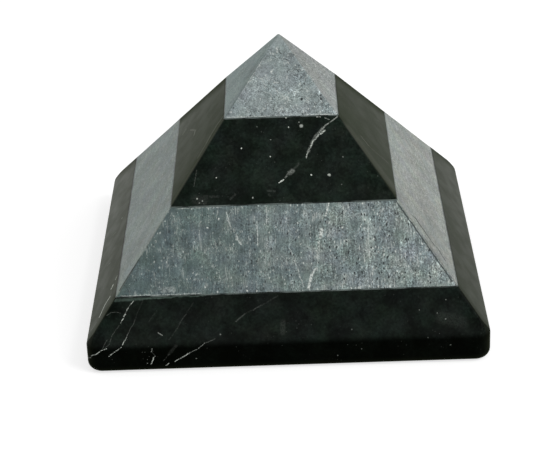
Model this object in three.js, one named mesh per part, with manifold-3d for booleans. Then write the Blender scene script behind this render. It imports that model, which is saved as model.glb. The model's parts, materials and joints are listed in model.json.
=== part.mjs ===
// A stone pyramid in four sawn layers, shungite and soapstone by turns. The layers are glued in a
// stack, and the stack is then ground to one square pyramid on a low upright plinth.
// Millimetres, +Z up. The origin is the centre of the underside, and -Y is the front.

import * as THREE from "three";
import { mergeVertices } from "three/addons/utils/BufferGeometryUtils.js";
import Module from "manifold-3d";

const wasm = await Module();
wasm.setup();

// Overall sizes
const BASE_WIDTH = 70; // across the flats of the plinth
const PLINTH_HEIGHT = 5.3; // from the underside up to the rim, where the slopes start
const TIP_FOOT_WIDTH = 20; // across the slopes at the foot of the tip, where they bend inwards a little

// Stone layers, bottom to top, and the film of epoxy between each two
const BASE_SLAB_THICKNESS = 12;
const LOWER_SLAB_THICKNESS = 12.1;
const UPPER_SLAB_THICKNESS = 12.1;
const TIP_THICKNESS = 11.95; // up to where the four slopes would meet
const GLUE_THICKNESS = 0.15;

// Edges, as they are dressed by hand after grinding
const PLINTH_CORNER_RADIUS = 2.7; // the plinth's four upright edges, seen from above
const UNDERSIDE_ROUND = 1.6; // the edge between the plinth and the underside
const RIM_ROUND = 2.2; // the edge between the plinth and the slopes
const CORNER_RIM_ROUND = 5; // the same at the corners, where the ridges start
const RIDGE_FLAT_WIDTH = 0.35; // the narrow flat that takes the sharpness off each ridge

// Rubbed hollow on the front right ridge of the lower soapstone slab
const RUBBED_DEPTH = 0.28; // below the sharp ridge, at the middle of the hollow
const RUBBED_LENGTH = 17.4; // along the ridge

// Overground strip on the front of the base slab, along the left part of its top edge
const STRIP_LENGTH = 22; // from the left ridge to where the strip runs out
const STRIP_WIDTH = 0.65; // down the slope, at the left ridge
const STRIP_UNDERCUT = 0.16; // how far the top edge is set back, at the left ridge

// How far a cutting tool or a blank reaches past the stone
const OVERRUN = 4;

// Facets of the rounds
const CORNER_SEGMENTS = 6;
const UNDERSIDE_SEGMENTS = 6;
const RIM_SEGMENTS = 3;
const WHEEL_SEGMENTS = 180;

const shungite = new THREE.MeshStandardMaterial({ color: 0x161c1a, roughness: 0.42, metalness: 0 });
const soapstone = new THREE.MeshStandardMaterial({ color: 0x75807f, roughness: 0.62, metalness: 0 });
const epoxy = new THREE.MeshStandardMaterial({ color: 0x0e1110, roughness: 0.5, metalness: 0 });

// The stack, from the underside up
const baseSlab = { name: "shungite_base_slab", thickness: BASE_SLAB_THICKNESS, material: shungite };
const lowerSlab = { name: "soapstone_lower_slab", thickness: LOWER_SLAB_THICKNESS, material: soapstone };
const upperSlab = { name: "shungite_upper_slab", thickness: UPPER_SLAB_THICKNESS, material: shungite };
const tip = { name: "soapstone_tip", thickness: TIP_THICKNESS, material: soapstone };
const stack = [
  baseSlab,
  { name: "lower_glue_line", thickness: GLUE_THICKNESS, material: epoxy },
  lowerSlab,
  { name: "middle_glue_line", thickness: GLUE_THICKNESS, material: epoxy },
  upperSlab,
  { name: "upper_glue_line", thickness: GLUE_THICKNESS, material: epoxy },
  tip,
];

let apexHeight = 0;
for (const layer of stack) {
  layer.bottom = apexHeight;
  apexHeight += layer.thickness;
  layer.top = apexHeight;
}

// The four slopes run from the rim up to the foot of the tip, and on to the apex at a lower angle.
// They meet in pairs at the ridges.
const halfWidth = BASE_WIDTH / 2;
const tipFootHalf = TIP_FOOT_WIDTH / 2;
const slopeRise = tip.bottom - PLINTH_HEIGHT;
const slopeAngle = Math.atan2(slopeRise, halfWidth - tipFootHalf);
const ridgeAngle = Math.atan2(slopeRise, (halfWidth - tipFootHalf) * Math.SQRT2);
const tipSlopeAngle = Math.atan2(TIP_THICKNESS, tipFootHalf);

// Half the width across the slopes at a height below the tip, as if they ran on down past the rim
function halfWidthAt(height) {
  return halfWidth - (height - PLINTH_HEIGHT) / Math.tan(slopeAngle);
}

// A three.js geometry as a solid that can be cut and joined
function solidOf(geometry) {
  const bare = geometry.clone();
  bare.deleteAttribute("normal");
  bare.deleteAttribute("uv");
  const merged = mergeVertices(bare);
  return new wasm.Manifold(
    new wasm.Mesh({
      numProp: 3,
      vertProperties: merged.attributes.position.array,
      triVerts: merged.index.array,
    }),
  );
}

// A solid as a flat-shaded three.js geometry
function geometryOf(solid) {
  const { vertProperties, triVerts } = solid.getMesh();
  const indexed = new THREE.BufferGeometry();
  indexed.setAttribute("position", new THREE.BufferAttribute(vertProperties, 3));
  indexed.setIndex(new THREE.BufferAttribute(triVerts, 1));
  const flat = indexed.toNonIndexed();
  flat.computeVertexNormals();
  return flat;
}

// Upright block of the plinth's outline, with its corners and its bottom edge rounded
function plinthBlock() {
  const straight = halfWidth - PLINTH_CORNER_RADIUS;
  const outline = new THREE.Shape();
  outline.absarc(straight, straight, PLINTH_CORNER_RADIUS, 0, Math.PI / 2);
  outline.absarc(-straight, straight, PLINTH_CORNER_RADIUS, Math.PI / 2, Math.PI);
  outline.absarc(-straight, -straight, PLINTH_CORNER_RADIUS, Math.PI, 1.5 * Math.PI);
  outline.absarc(straight, -straight, PLINTH_CORNER_RADIUS, 1.5 * Math.PI, 2 * Math.PI);
  outline.closePath();
  const block = new THREE.ExtrudeGeometry(outline, {
    depth: apexHeight,
    curveSegments: CORNER_SEGMENTS,
    bevelThickness: UNDERSIDE_ROUND,
    bevelSize: UNDERSIDE_ROUND,
    bevelOffset: -UNDERSIDE_ROUND,
    bevelSegments: UNDERSIDE_SEGMENTS,
  });
  return solidOf(block.translate(0, 0, UNDERSIDE_ROUND));
}

// Outline that a pass of grinding leaves on two opposite sides. The widths across the slopes are
// stretched by a factor and set in at either side. The sides below stand upright at a reach from the
// middle, and are rounded over to the slopes.
function passOutline(stretch, setIn, uprightReach, round) {
  const lowReach = halfWidth * stretch - setIn;
  const footReach = tipFootHalf * stretch - setIn;
  const angle = Math.atan2(slopeRise, lowReach - footReach);
  const bend = Math.PI / 2 - angle;
  const rimHeight = PLINTH_HEIGHT + (lowReach - uprightReach) * Math.tan(angle);
  const roundHeight = rimHeight - round * Math.tan(bend / 2);
  const topHeight = apexHeight - (setIn / stretch) * Math.tan(tipSlopeAngle);
  const outline = new THREE.Shape();
  outline.absarc(uprightReach - round, roundHeight, round, 0, bend);
  outline.lineTo(footReach, tip.bottom);
  outline.lineTo(0, topHeight);
  outline.lineTo(-footReach, tip.bottom);
  outline.absarc(round - uprightReach, roundHeight, round, Math.PI - bend, Math.PI);
  outline.lineTo(-uprightReach, -OVERRUN);
  outline.lineTo(uprightReach, -OVERRUN);
  outline.closePath();
  return outline;
}

// What two passes leave, at a right angle to each other and at a turn from the front
function groundTwice(outline, turn) {
  const length = 2 * (BASE_WIDTH + OVERRUN);
  const pass = new THREE.ExtrudeGeometry(outline, {
    depth: length,
    bevelEnabled: false,
    curveSegments: RIM_SEGMENTS,
  });
  pass.translate(0, 0, -length / 2);
  pass.rotateX(Math.PI / 2);
  pass.rotateZ(turn);
  const first = solidOf(pass);
  return first.intersect(solidOf(pass.rotateZ(Math.PI / 2)));
}

// The slopes with their rim, and the flats that are ground along the ridges and down to the corners
function groundSlopes() {
  const slopes = groundTwice(passOutline(1, 0, halfWidth, RIM_ROUND), 0);
  const cornerReach = halfWidth * Math.SQRT2 - PLINTH_CORNER_RADIUS * (Math.SQRT2 - 1);
  const flats = passOutline(Math.SQRT2, RIDGE_FLAT_WIDTH / 2, cornerReach, CORNER_RIM_ROUND);
  return slopes.intersect(groundTwice(flats, Math.PI / 4));
}

// One layer's share of the ground form: what its sawn blank and the form have in common
function cutLayer(form, layer) {
  const blankWidth = BASE_WIDTH + 2 * OVERRUN;
  const blank = new THREE.BoxGeometry(blankWidth, blankWidth, layer.thickness);
  return form.intersect(solidOf(blank.translate(0, 0, (layer.bottom + layer.top) / 2)));
}

// Wheel whose rim dips into the front right ridge of a layer, deepest halfway up the layer
function ridgeWheel(layer) {
  const radius = ((RUBBED_LENGTH / 2) ** 2 + RUBBED_DEPTH ** 2) / (2 * RUBBED_DEPTH);
  const middle = (layer.bottom + layer.top) / 2;
  const outward = new THREE.Vector3(Math.sin(ridgeAngle), 0, Math.cos(ridgeAngle));
  outward.applyAxisAngle(new THREE.Vector3(0, 0, 1), -Math.PI / 4);
  const centre = new THREE.Vector3(halfWidthAt(middle), -halfWidthAt(middle), middle);
  centre.addScaledVector(outward, radius - RUBBED_DEPTH);
  const wheel = new THREE.CylinderGeometry(radius, radius, 2 * OVERRUN, WHEEL_SEGMENTS);
  wheel.rotateZ(-Math.PI / 4);
  return solidOf(wheel.translate(centre.x, centre.y, centre.z));
}

// Block whose underside is the plane of the overground strip: through the point where the strip
// runs out, its lower end on the left ridge, and the layer's top corner once that is set back
function stripBlock(layer) {
  const topHalf = halfWidthAt(layer.top);
  const lowHeight = layer.top - STRIP_WIDTH * Math.sin(slopeAngle);
  const lowHalf = halfWidthAt(lowHeight);
  const runOut = new THREE.Vector3(STRIP_LENGTH - topHalf, -topHalf, layer.top);
  const lowEnd = new THREE.Vector3(-lowHalf, -lowHalf, lowHeight);
  const setBack = new THREE.Vector3(-topHalf, STRIP_UNDERCUT - topHalf, layer.top);
  const along = runOut.clone().sub(lowEnd).normalize();
  const outward = along.clone().cross(setBack.sub(lowEnd)).normalize();
  const across = outward.clone().cross(along);
  const side = 2 * (STRIP_LENGTH + OVERRUN);
  const block = new THREE.BoxGeometry(side, side, side);
  block.translate(0, 0, side / 2);
  block.applyMatrix4(new THREE.Matrix4().makeBasis(along, across, outward).setPosition(lowEnd));
  return solidOf(block);
}

const groundForm = plinthBlock().intersect(groundSlopes());
for (const layer of stack) {
  layer.solid = cutLayer(groundForm, layer);
}
lowerSlab.solid = lowerSlab.solid.subtract(ridgeWheel(lowerSlab));
baseSlab.solid = baseSlab.solid.subtract(stripBlock(baseSlab));

const pyramid = new THREE.Group();
for (const layer of stack) {
  const mesh = new THREE.Mesh(geometryOf(layer.solid), layer.material);
  mesh.name = layer.name;
  pyramid.add(mesh);
}

export default pyramid;
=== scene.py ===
import json
import math

import bmesh
import bpy
from mathutils import Matrix, Vector, noise


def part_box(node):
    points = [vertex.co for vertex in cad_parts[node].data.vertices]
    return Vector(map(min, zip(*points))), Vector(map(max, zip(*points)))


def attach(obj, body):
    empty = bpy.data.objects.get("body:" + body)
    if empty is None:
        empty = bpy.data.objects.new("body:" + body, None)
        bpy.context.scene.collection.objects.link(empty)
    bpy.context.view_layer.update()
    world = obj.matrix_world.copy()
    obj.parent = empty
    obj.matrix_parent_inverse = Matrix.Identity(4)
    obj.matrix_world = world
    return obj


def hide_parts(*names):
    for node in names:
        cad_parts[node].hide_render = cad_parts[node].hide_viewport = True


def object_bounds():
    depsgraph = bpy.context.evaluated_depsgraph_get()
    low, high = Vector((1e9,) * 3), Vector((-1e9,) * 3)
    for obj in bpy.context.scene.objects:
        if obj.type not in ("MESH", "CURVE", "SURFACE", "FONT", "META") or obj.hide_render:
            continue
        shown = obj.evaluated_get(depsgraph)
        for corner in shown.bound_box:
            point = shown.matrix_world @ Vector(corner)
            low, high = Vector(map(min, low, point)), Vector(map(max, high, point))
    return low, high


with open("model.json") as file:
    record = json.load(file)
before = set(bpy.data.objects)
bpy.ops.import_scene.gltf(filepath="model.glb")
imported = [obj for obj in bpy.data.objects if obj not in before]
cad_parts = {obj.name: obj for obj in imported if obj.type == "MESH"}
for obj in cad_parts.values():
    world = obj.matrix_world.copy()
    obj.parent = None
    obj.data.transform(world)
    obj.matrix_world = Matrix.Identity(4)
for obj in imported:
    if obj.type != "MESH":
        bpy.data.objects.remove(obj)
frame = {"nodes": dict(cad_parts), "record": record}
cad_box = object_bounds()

# The looks of a stone pyramid of four glued layers. Metres, +Z up, and -Y is the front.
# Patterns in the materials and the wear of the stones are laid out in millimetres.

MM = 0.001
PER_MM = 1 / MM

# Camera, as it stood for the photograph
VIEW_AIM = (-1.38 * MM, 0, 10.43 * MM)
VIEW_DISTANCE = 344.9 * MM
VIEW_ELEVATION = math.radians(26.45)
VIEW_TURN = math.radians(0.643)  # to the left, seen from above
VIEW_ROLL = math.radians(-2.2)
LENS_MM = 119.05
SENSOR_MM = 36
CLIP_START = 10 * MM

# Studio
WHITE = (1, 1, 1, 1)
FLOOR_RADIUS = 3000 * MM
FLOOR_SEGMENTS = 64
FLOOR_GREY = (0.5, 0.5, 0.5, 1)
FLOOR_GLOW = 0.66
AMBIENT_STRENGTH = 0.62
BACKGROUND_STRENGTH = 1.0
KEY_PLACE = (420 * MM, -260 * MM, 480 * MM)
KEY_AIM = (0, 0, 20 * MM)
KEY_SIZE = 360 * MM
KEY_POWER = 2.0

# Grid that the stones' faces are cut into before they are worn
SHUNGITE_LEVEL_STEP = 0.3 * MM
SHUNGITE_CROSS_STEP = 0.32 * MM
SOAPSTONE_LEVEL_STEP = 0.25 * MM
SOAPSTONE_CROSS_STEP = 0.26 * MM
LEAST_STEP = 0.12 * MM
SNAP_DISTANCE = 0.02 * MM
MERGE_DISTANCE = 0.0005 * MM
FLAT_ANGLE = math.radians(0.5)
LEVEL_NORMAL = 0.999  # a face whose normal stands this upright is a joint or the underside
FACING_SHARE = 1.5
SHARP_ANGLE = math.radians(40)

# Numbers that tell the four sides apart in the patterns
FRONT = -10
BACK = 10
LEFT = 30
RIGHT = 50

SLOPE_PER_HEIGHT = 1.28  # length down the slope for each millimetre of height

# Places of the Mix node's sockets, for colours and for numbers
FIRST_COLOR = 6
SECOND_COLOR = 7
MIXED_COLOR = 2
FIRST_NUMBER = 2
SECOND_NUMBER = 3
MIXED_NUMBER = 0

# Settings inside the node groups
ALL = (0.0, 1.0)
NOISE_MIDDLE = 0.5  # what soft noise lies about
USUAL_ROUGHNESS = 0.5
WOBBLE_CLOUD = {"detail": 3.0, "roughness": 0.6}
WOBBLE_REACH = (2.0, 2.0, 0.0)  # none along the third axis, which tells the side on a sheet
LINE_EDGE = 0.5  # of the width, from the middle
LINE_CORE = 0.15
SPOT_CORE = 0.4  # of the radius
SPECK_CORE = 0.6
SPECK_SIZES = (0.35, 1.0)
SPECK_STRENGTHS = (0.45, 1.0)
VEIN_CLOUD = {"detail": 3.0, "roughness": 0.45}
VEIN_GATE_CLOUD = {"detail": 1.0}
VEIN_GATE_SHIFT = (31.0, 17.0, 5.0)
VEIN_GATE_EDGE = 0.12
GRAIN_CLOUD = {"scale": 0.9, "detail": 2.0, "roughness": 0.6}
GRAIN_CLOUD_RANGE = (0.2, 0.8)
GRAIN_CLOUD_SHARE = 0.5
FLECK_CLOUD = {"scale": 1.0, "detail": 1.0, "roughness": 0.6}
FLECK_EDGE = 0.06


def add_node(tree, kind, inputs=None, **settings):
    """A shader node. An input that is a socket is linked, and any other is set."""
    node = tree.nodes.new(kind)
    for name, value in settings.items():
        setattr(node, name, value)
    for name, value in (inputs or {}).items():
        if isinstance(value, bpy.types.NodeSocket):
            tree.links.new(value, node.inputs[name])
        else:
            node.inputs[name].default_value = value
    return node


def calculate(tree, operation, *values):
    """A sum on numbers."""
    return add_node(tree, "ShaderNodeMath", dict(enumerate(values)), operation=operation).outputs[0]


def product(tree, *values):
    """Several numbers multiplied together."""
    result = values[0]
    for value in values[1:]:
        result = calculate(tree, "MULTIPLY", result, value)
    return result


def largest(tree, values):
    """The largest of several masks, or 0 where there are none."""
    result = 0.0
    for value in values:
        result = calculate(tree, "MAXIMUM", result, value)
    return result


def from_middle(tree, value):
    """How far noise lies above its middle."""
    return calculate(tree, "SUBTRACT", value, NOISE_MIDDLE)


def move_vector(tree, operation, *values):
    """A sum on vectors that gives a vector."""
    node = add_node(tree, "ShaderNodeVectorMath", dict(enumerate(values)), operation=operation)
    return node.outputs["Vector"]


def measure_vector(tree, operation, *values):
    """A sum on vectors that gives a number."""
    node = add_node(tree, "ShaderNodeVectorMath", dict(enumerate(values)), operation=operation)
    return node.outputs["Value"]


def scale_vector(tree, vector, share):
    """A vector multiplied by a number."""
    node = add_node(tree, "ShaderNodeVectorMath", {0: vector, "Scale": share}, operation="SCALE")
    return node.outputs["Vector"]


def split_vector(tree, vector):
    """The three parts of a vector."""
    return add_node(tree, "ShaderNodeSeparateXYZ", {0: vector}).outputs


def split_color(tree, color):
    """The three channels of a colour."""
    return add_node(tree, "ShaderNodeSeparateColor", {0: color}).outputs


def ramp(tree, value, across, between=ALL):
    """A number carried softly from one range to another."""
    inputs = {
        "Value": value,
        "From Min": across[0],
        "From Max": across[1],
        "To Min": between[0],
        "To Max": between[1],
    }
    return add_node(tree, "ShaderNodeMapRange", inputs, interpolation_type="SMOOTHSTEP").outputs["Result"]


def mix_color(tree, share, first, second, blend="MIX"):
    """Two colours mixed by a share of the second."""
    inputs = {"Factor": share, FIRST_COLOR: first, SECOND_COLOR: second}
    node = add_node(tree, "ShaderNodeMix", inputs, data_type="RGBA", blend_type=blend)
    return node.outputs[MIXED_COLOR]


def mix_value(tree, share, first, second):
    """Two numbers mixed by a share of the second."""
    inputs = {"Factor": share, FIRST_NUMBER: first, SECOND_NUMBER: second}
    return add_node(tree, "ShaderNodeMix", inputs, data_type="FLOAT").outputs[MIXED_NUMBER]


def tinted(tree, color, tint, share=1.0):
    """A colour multiplied by a tint, or by a share of it."""
    return mix_color(tree, share, color, tint, blend="MULTIPLY")


def painted(tree, color, layers):
    """A colour with layers laid over it, each a mask and a colour."""
    for cover, layer in layers:
        color = mix_color(tree, cover, color, layer)
    return color


def grey(tree, value):
    """A number as a grey colour."""
    return add_node(tree, "ShaderNodeCombineColor", {0: value, 1: value, 2: value}).outputs[0]


def cloud_node(tree, point, scale, detail, roughness=USUAL_ROUGHNESS):
    """Soft noise, as a number and as a colour."""
    inputs = {"Vector": point, "Scale": scale, "Detail": detail, "Roughness": roughness}
    return add_node(tree, "ShaderNodeTexNoise", inputs)


def speckle(tree, point, size, detail, roughness=USUAL_ROUGHNESS):
    """Soft noise whose blotches are about as wide as a size in millimetres."""
    return cloud_node(tree, point, 1 / size, detail, roughness).outputs["Fac"]


def drift(tree, point, across, between=ALL, **cloud):
    """A number that goes between two values where soft noise goes across a range."""
    return ramp(tree, speckle(tree, point, **cloud), across, between)


def tinge(tree, point, size, detail, depths):
    """A pale colour that drifts over a size in millimetres, by a depth in each of red, green and blue."""
    cloud = cloud_node(tree, point, 1 / size, detail)
    least = [1 - depth / 2 for depth in depths]
    return move_vector(tree, "MULTIPLY_ADD", cloud.outputs["Color"], depths, least)


def new_group(name, inputs, outputs):
    """An empty node group, its tree and its two end nodes."""
    tree = bpy.data.node_groups.new(name, "ShaderNodeTree")
    for title, kind in inputs.items():
        tree.interface.new_socket(name=title, in_out="INPUT", socket_type="NodeSocket" + kind)
    for title, kind in outputs.items():
        tree.interface.new_socket(name=title, in_out="OUTPUT", socket_type="NodeSocket" + kind)
    return tree, tree.nodes.new("NodeGroupInput").outputs, tree.nodes.new("NodeGroupOutput").inputs


def link_each(tree, sockets, **values):
    """Links values to sockets by their names."""
    for name, value in values.items():
        tree.links.new(value, sockets[name])


def use_group(tree, name, **inputs):
    """One of the shared groups, placed in a tree."""
    return add_node(tree, "ShaderNodeGroup", inputs, node_tree=GROUPS[name]).outputs


def new_material(name):
    """A material with an empty node tree, and its tree."""
    material = bpy.data.materials.new(name)
    material.use_nodes = True
    material.node_tree.nodes.clear()
    return material, material.node_tree


def finish_with(tree, inputs):
    """Ends a material with the Principled shader."""
    shader = add_node(tree, "ShaderNodeBsdfPrincipled", inputs)
    add_node(tree, "ShaderNodeOutputMaterial", {"Surface": shader.outputs[0]})


def point_in_mm(tree):
    """The place on the object, in millimetres."""
    place = add_node(tree, "ShaderNodeTexCoord").outputs["Object"]
    return move_vector(tree, "MULTIPLY", place, (PER_MM, PER_MM, PER_MM))


def worn_share(tree, name):
    """A share from 0 to 1 that was noted on a stone's points when it was worn."""
    return add_node(tree, "ShaderNodeAttribute", attribute_name=name).outputs["Fac"]


def side_sheet_group():
    """Lays each of the four sides out flat: across, up the slope and the number that tells the side.

    Along runs from -1 at one ridge of a side to 1 at the other. Ridge is how far the nearest ridge is.
    """
    outputs = {"Sheet": "Vector", "Along": "Float", "Flank": "Float", "Ridge": "Float"}
    tree, given, results = new_group("side_sheet", {"Point": "Vector"}, outputs)
    x, y, z = split_vector(tree, given["Point"])
    wide = calculate(tree, "ABSOLUTE", x)
    deep = calculate(tree, "ABSOLUTE", y)
    flank = calculate(tree, "GREATER_THAN", wide, deep)
    across = mix_value(tree, flank, x, y)
    sign = calculate(tree, "SIGN", mix_value(tree, flank, y, x))
    number = calculate(tree, "MULTIPLY_ADD", sign, BACK, product(tree, flank, (LEFT + RIGHT) / 2))
    rise = product(tree, z, SLOPE_PER_HEIGHT)
    sheet = add_node(tree, "ShaderNodeCombineXYZ", {0: across, 1: rise, 2: number}).outputs[0]
    along = calculate(tree, "DIVIDE", across, calculate(tree, "MAXIMUM", wide, deep))
    ridge = calculate(tree, "ABSOLUTE", calculate(tree, "SUBTRACT", wide, deep))
    link_each(tree, results, Sheet=sheet, Along=along, Flank=flank, Ridge=ridge)
    return tree


def wobble_group():
    """Moves the points of a pattern a little, so that what is drawn on them isn't straight."""
    inputs = {"Point": "Vector", "Size": "Float", "Amount": "Float"}
    tree, given, results = new_group("wobble", inputs, {"Point": "Vector"})
    scale = calculate(tree, "DIVIDE", 1.0, given["Size"])
    cloud = cloud_node(tree, given["Point"], scale, **WOBBLE_CLOUD)
    centred = move_vector(tree, "SUBTRACT", cloud.outputs["Color"], [NOISE_MIDDLE] * 3)
    shift = scale_vector(tree, move_vector(tree, "MULTIPLY", centred, WOBBLE_REACH), given["Amount"])
    link_each(tree, results, Point=move_vector(tree, "ADD", given["Point"], shift))
    return tree


def line_group():
    """A stretch of vein between two points of a sheet: 1 along its middle, 0 past its width."""
    inputs = {"Sheet": "Vector", "From": "Vector", "To": "Vector", "Width": "Float"}
    tree, given, results = new_group("line", inputs, {"Cover": "Float"})
    run = move_vector(tree, "SUBTRACT", given["To"], given["From"])
    reach = move_vector(tree, "SUBTRACT", given["Sheet"], given["From"])
    length = measure_vector(tree, "DOT_PRODUCT", run, run)
    along = calculate(tree, "DIVIDE", measure_vector(tree, "DOT_PRODUCT", reach, run), length)
    share = add_node(tree, "ShaderNodeClamp", {0: along}).outputs[0]
    distance = measure_vector(tree, "DISTANCE", reach, scale_vector(tree, run, share))
    edge = product(tree, given["Width"], LINE_EDGE)
    core = product(tree, given["Width"], LINE_CORE)
    link_each(tree, results, Cover=ramp(tree, distance, (edge, core)))
    return tree


def spot_group():
    """A round spot on a sheet: 1 inside, 0 past its radius."""
    inputs = {"Sheet": "Vector", "Centre": "Vector", "Radius": "Float"}
    tree, given, results = new_group("spot", inputs, {"Cover": "Float"})
    distance = measure_vector(tree, "DISTANCE", given["Sheet"], given["Centre"])
    core = product(tree, given["Radius"], SPOT_CORE)
    link_each(tree, results, Cover=ramp(tree, distance, (given["Radius"], core)))
    return tree


def scattered_group():
    """Specks strewn thinly over a stone, each of its own size and strength."""
    inputs = {"Point": "Vector", "Spacing": "Float", "Radius": "Float", "Share": "Float"}
    tree, given, results = new_group("scattered_specks", inputs, {"Cover": "Float"})
    scale = calculate(tree, "DIVIDE", 1.0, given["Spacing"])
    cells = add_node(tree, "ShaderNodeTexVoronoi", {"Vector": given["Point"], "Scale": scale})
    luck, size, strength = split_color(tree, cells.outputs["Color"])
    there = calculate(tree, "LESS_THAN", luck, given["Share"])
    radius = product(tree, given["Radius"], ramp(tree, size, ALL, SPECK_SIZES), scale)
    cover = ramp(tree, cells.outputs["Distance"], (radius, product(tree, radius, SPECK_CORE)))
    link_each(tree, results, Cover=product(tree, there, ramp(tree, strength, ALL, SPECK_STRENGTHS), cover))
    return tree


def wandering_group():
    """Fine veins that wander through a stone and fade out."""
    inputs = {"Point": "Vector", "Size": "Float", "Width": "Float", "Share": "Float"}
    tree, given, results = new_group("wandering_veins", inputs, {"Cover": "Float"})
    scale = calculate(tree, "DIVIDE", 1.0, given["Size"])
    field = cloud_node(tree, given["Point"], scale, **VEIN_CLOUD)
    off = calculate(tree, "ABSOLUTE", from_middle(tree, field.outputs["Fac"]))
    shifted = move_vector(tree, "ADD", given["Point"], VEIN_GATE_SHIFT)
    gate = cloud_node(tree, shifted, scale, **VEIN_GATE_CLOUD).outputs["Fac"]
    low = calculate(tree, "SUBTRACT", 1.0, given["Share"])
    high = calculate(tree, "ADD", low, VEIN_GATE_EDGE)
    cover = product(tree, ramp(tree, off, (given["Width"], 0.0)), ramp(tree, gate, (low, high)))
    link_each(tree, results, Cover=cover)
    return tree


def grains_group():
    """Close mineral grains, each with a tone of its own from 0 to 1, in a finer cloud."""
    inputs = {"Point": "Vector", "Size": "Vector"}
    tree, given, results = new_group("mineral_grains", inputs, {"Tone": "Float"})
    scaled = move_vector(tree, "DIVIDE", given["Point"], given["Size"])
    cells = add_node(tree, "ShaderNodeTexVoronoi", {"Vector": scaled, "Scale": 1.0})
    grain, _, _ = split_color(tree, cells.outputs["Color"])
    cloud = cloud_node(tree, scaled, **GRAIN_CLOUD).outputs["Fac"]
    tone = mix_value(tree, GRAIN_CLOUD_SHARE, grain, ramp(tree, cloud, GRAIN_CLOUD_RANGE))
    link_each(tree, results, Tone=tone)
    return tree


def flecks_group():
    """Small sharp flecks, as wide and as long as a size asks, where a cloud rises over a level."""
    inputs = {"Point": "Vector", "Size": "Vector", "Level": "Float"}
    tree, given, results = new_group("flecks", inputs, {"Cover": "Float"})
    scaled = move_vector(tree, "DIVIDE", given["Point"], given["Size"])
    cloud = cloud_node(tree, scaled, **FLECK_CLOUD).outputs["Fac"]
    high = calculate(tree, "ADD", given["Level"], FLECK_EDGE)
    link_each(tree, results, Cover=ramp(tree, cloud, (given["Level"], high)))
    return tree


GROUPS = {
    "side_sheet": side_sheet_group(),
    "wobble": wobble_group(),
    "line": line_group(),
    "spot": spot_group(),
    "scattered": scattered_group(),
    "wandering": wandering_group(),
    "grains": grains_group(),
    "flecks": flecks_group(),
}


def on_sheet(side, place):
    """A point of a sheet, from the place across and the height on one side."""
    across, height = place
    return across, height * SLOPE_PER_HEIGHT, side


def draw_veins(tree, sheet, veins):
    """All the stretches of some veins. Each vein has a side, a strength, a width and its bends."""
    covers = []
    for side, strength, width, bends in veins:
        for first, second in zip(bends, bends[1:]):
            ends = {"From": on_sheet(side, first), "To": on_sheet(side, second)}
            stretch = use_group(tree, "line", Sheet=sheet, Width=width, **ends)
            covers.append(product(tree, stretch[0], strength))
    return largest(tree, covers)


def draw_spots(tree, sheet, spots):
    """Spots, each with a side, a strength, a radius and a place."""
    covers = []
    for side, strength, radius, place in spots:
        spot = use_group(tree, "spot", Sheet=sheet, Centre=on_sheet(side, place), Radius=radius)
        covers.append(product(tree, spot[0], strength))
    return largest(tree, covers)


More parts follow.
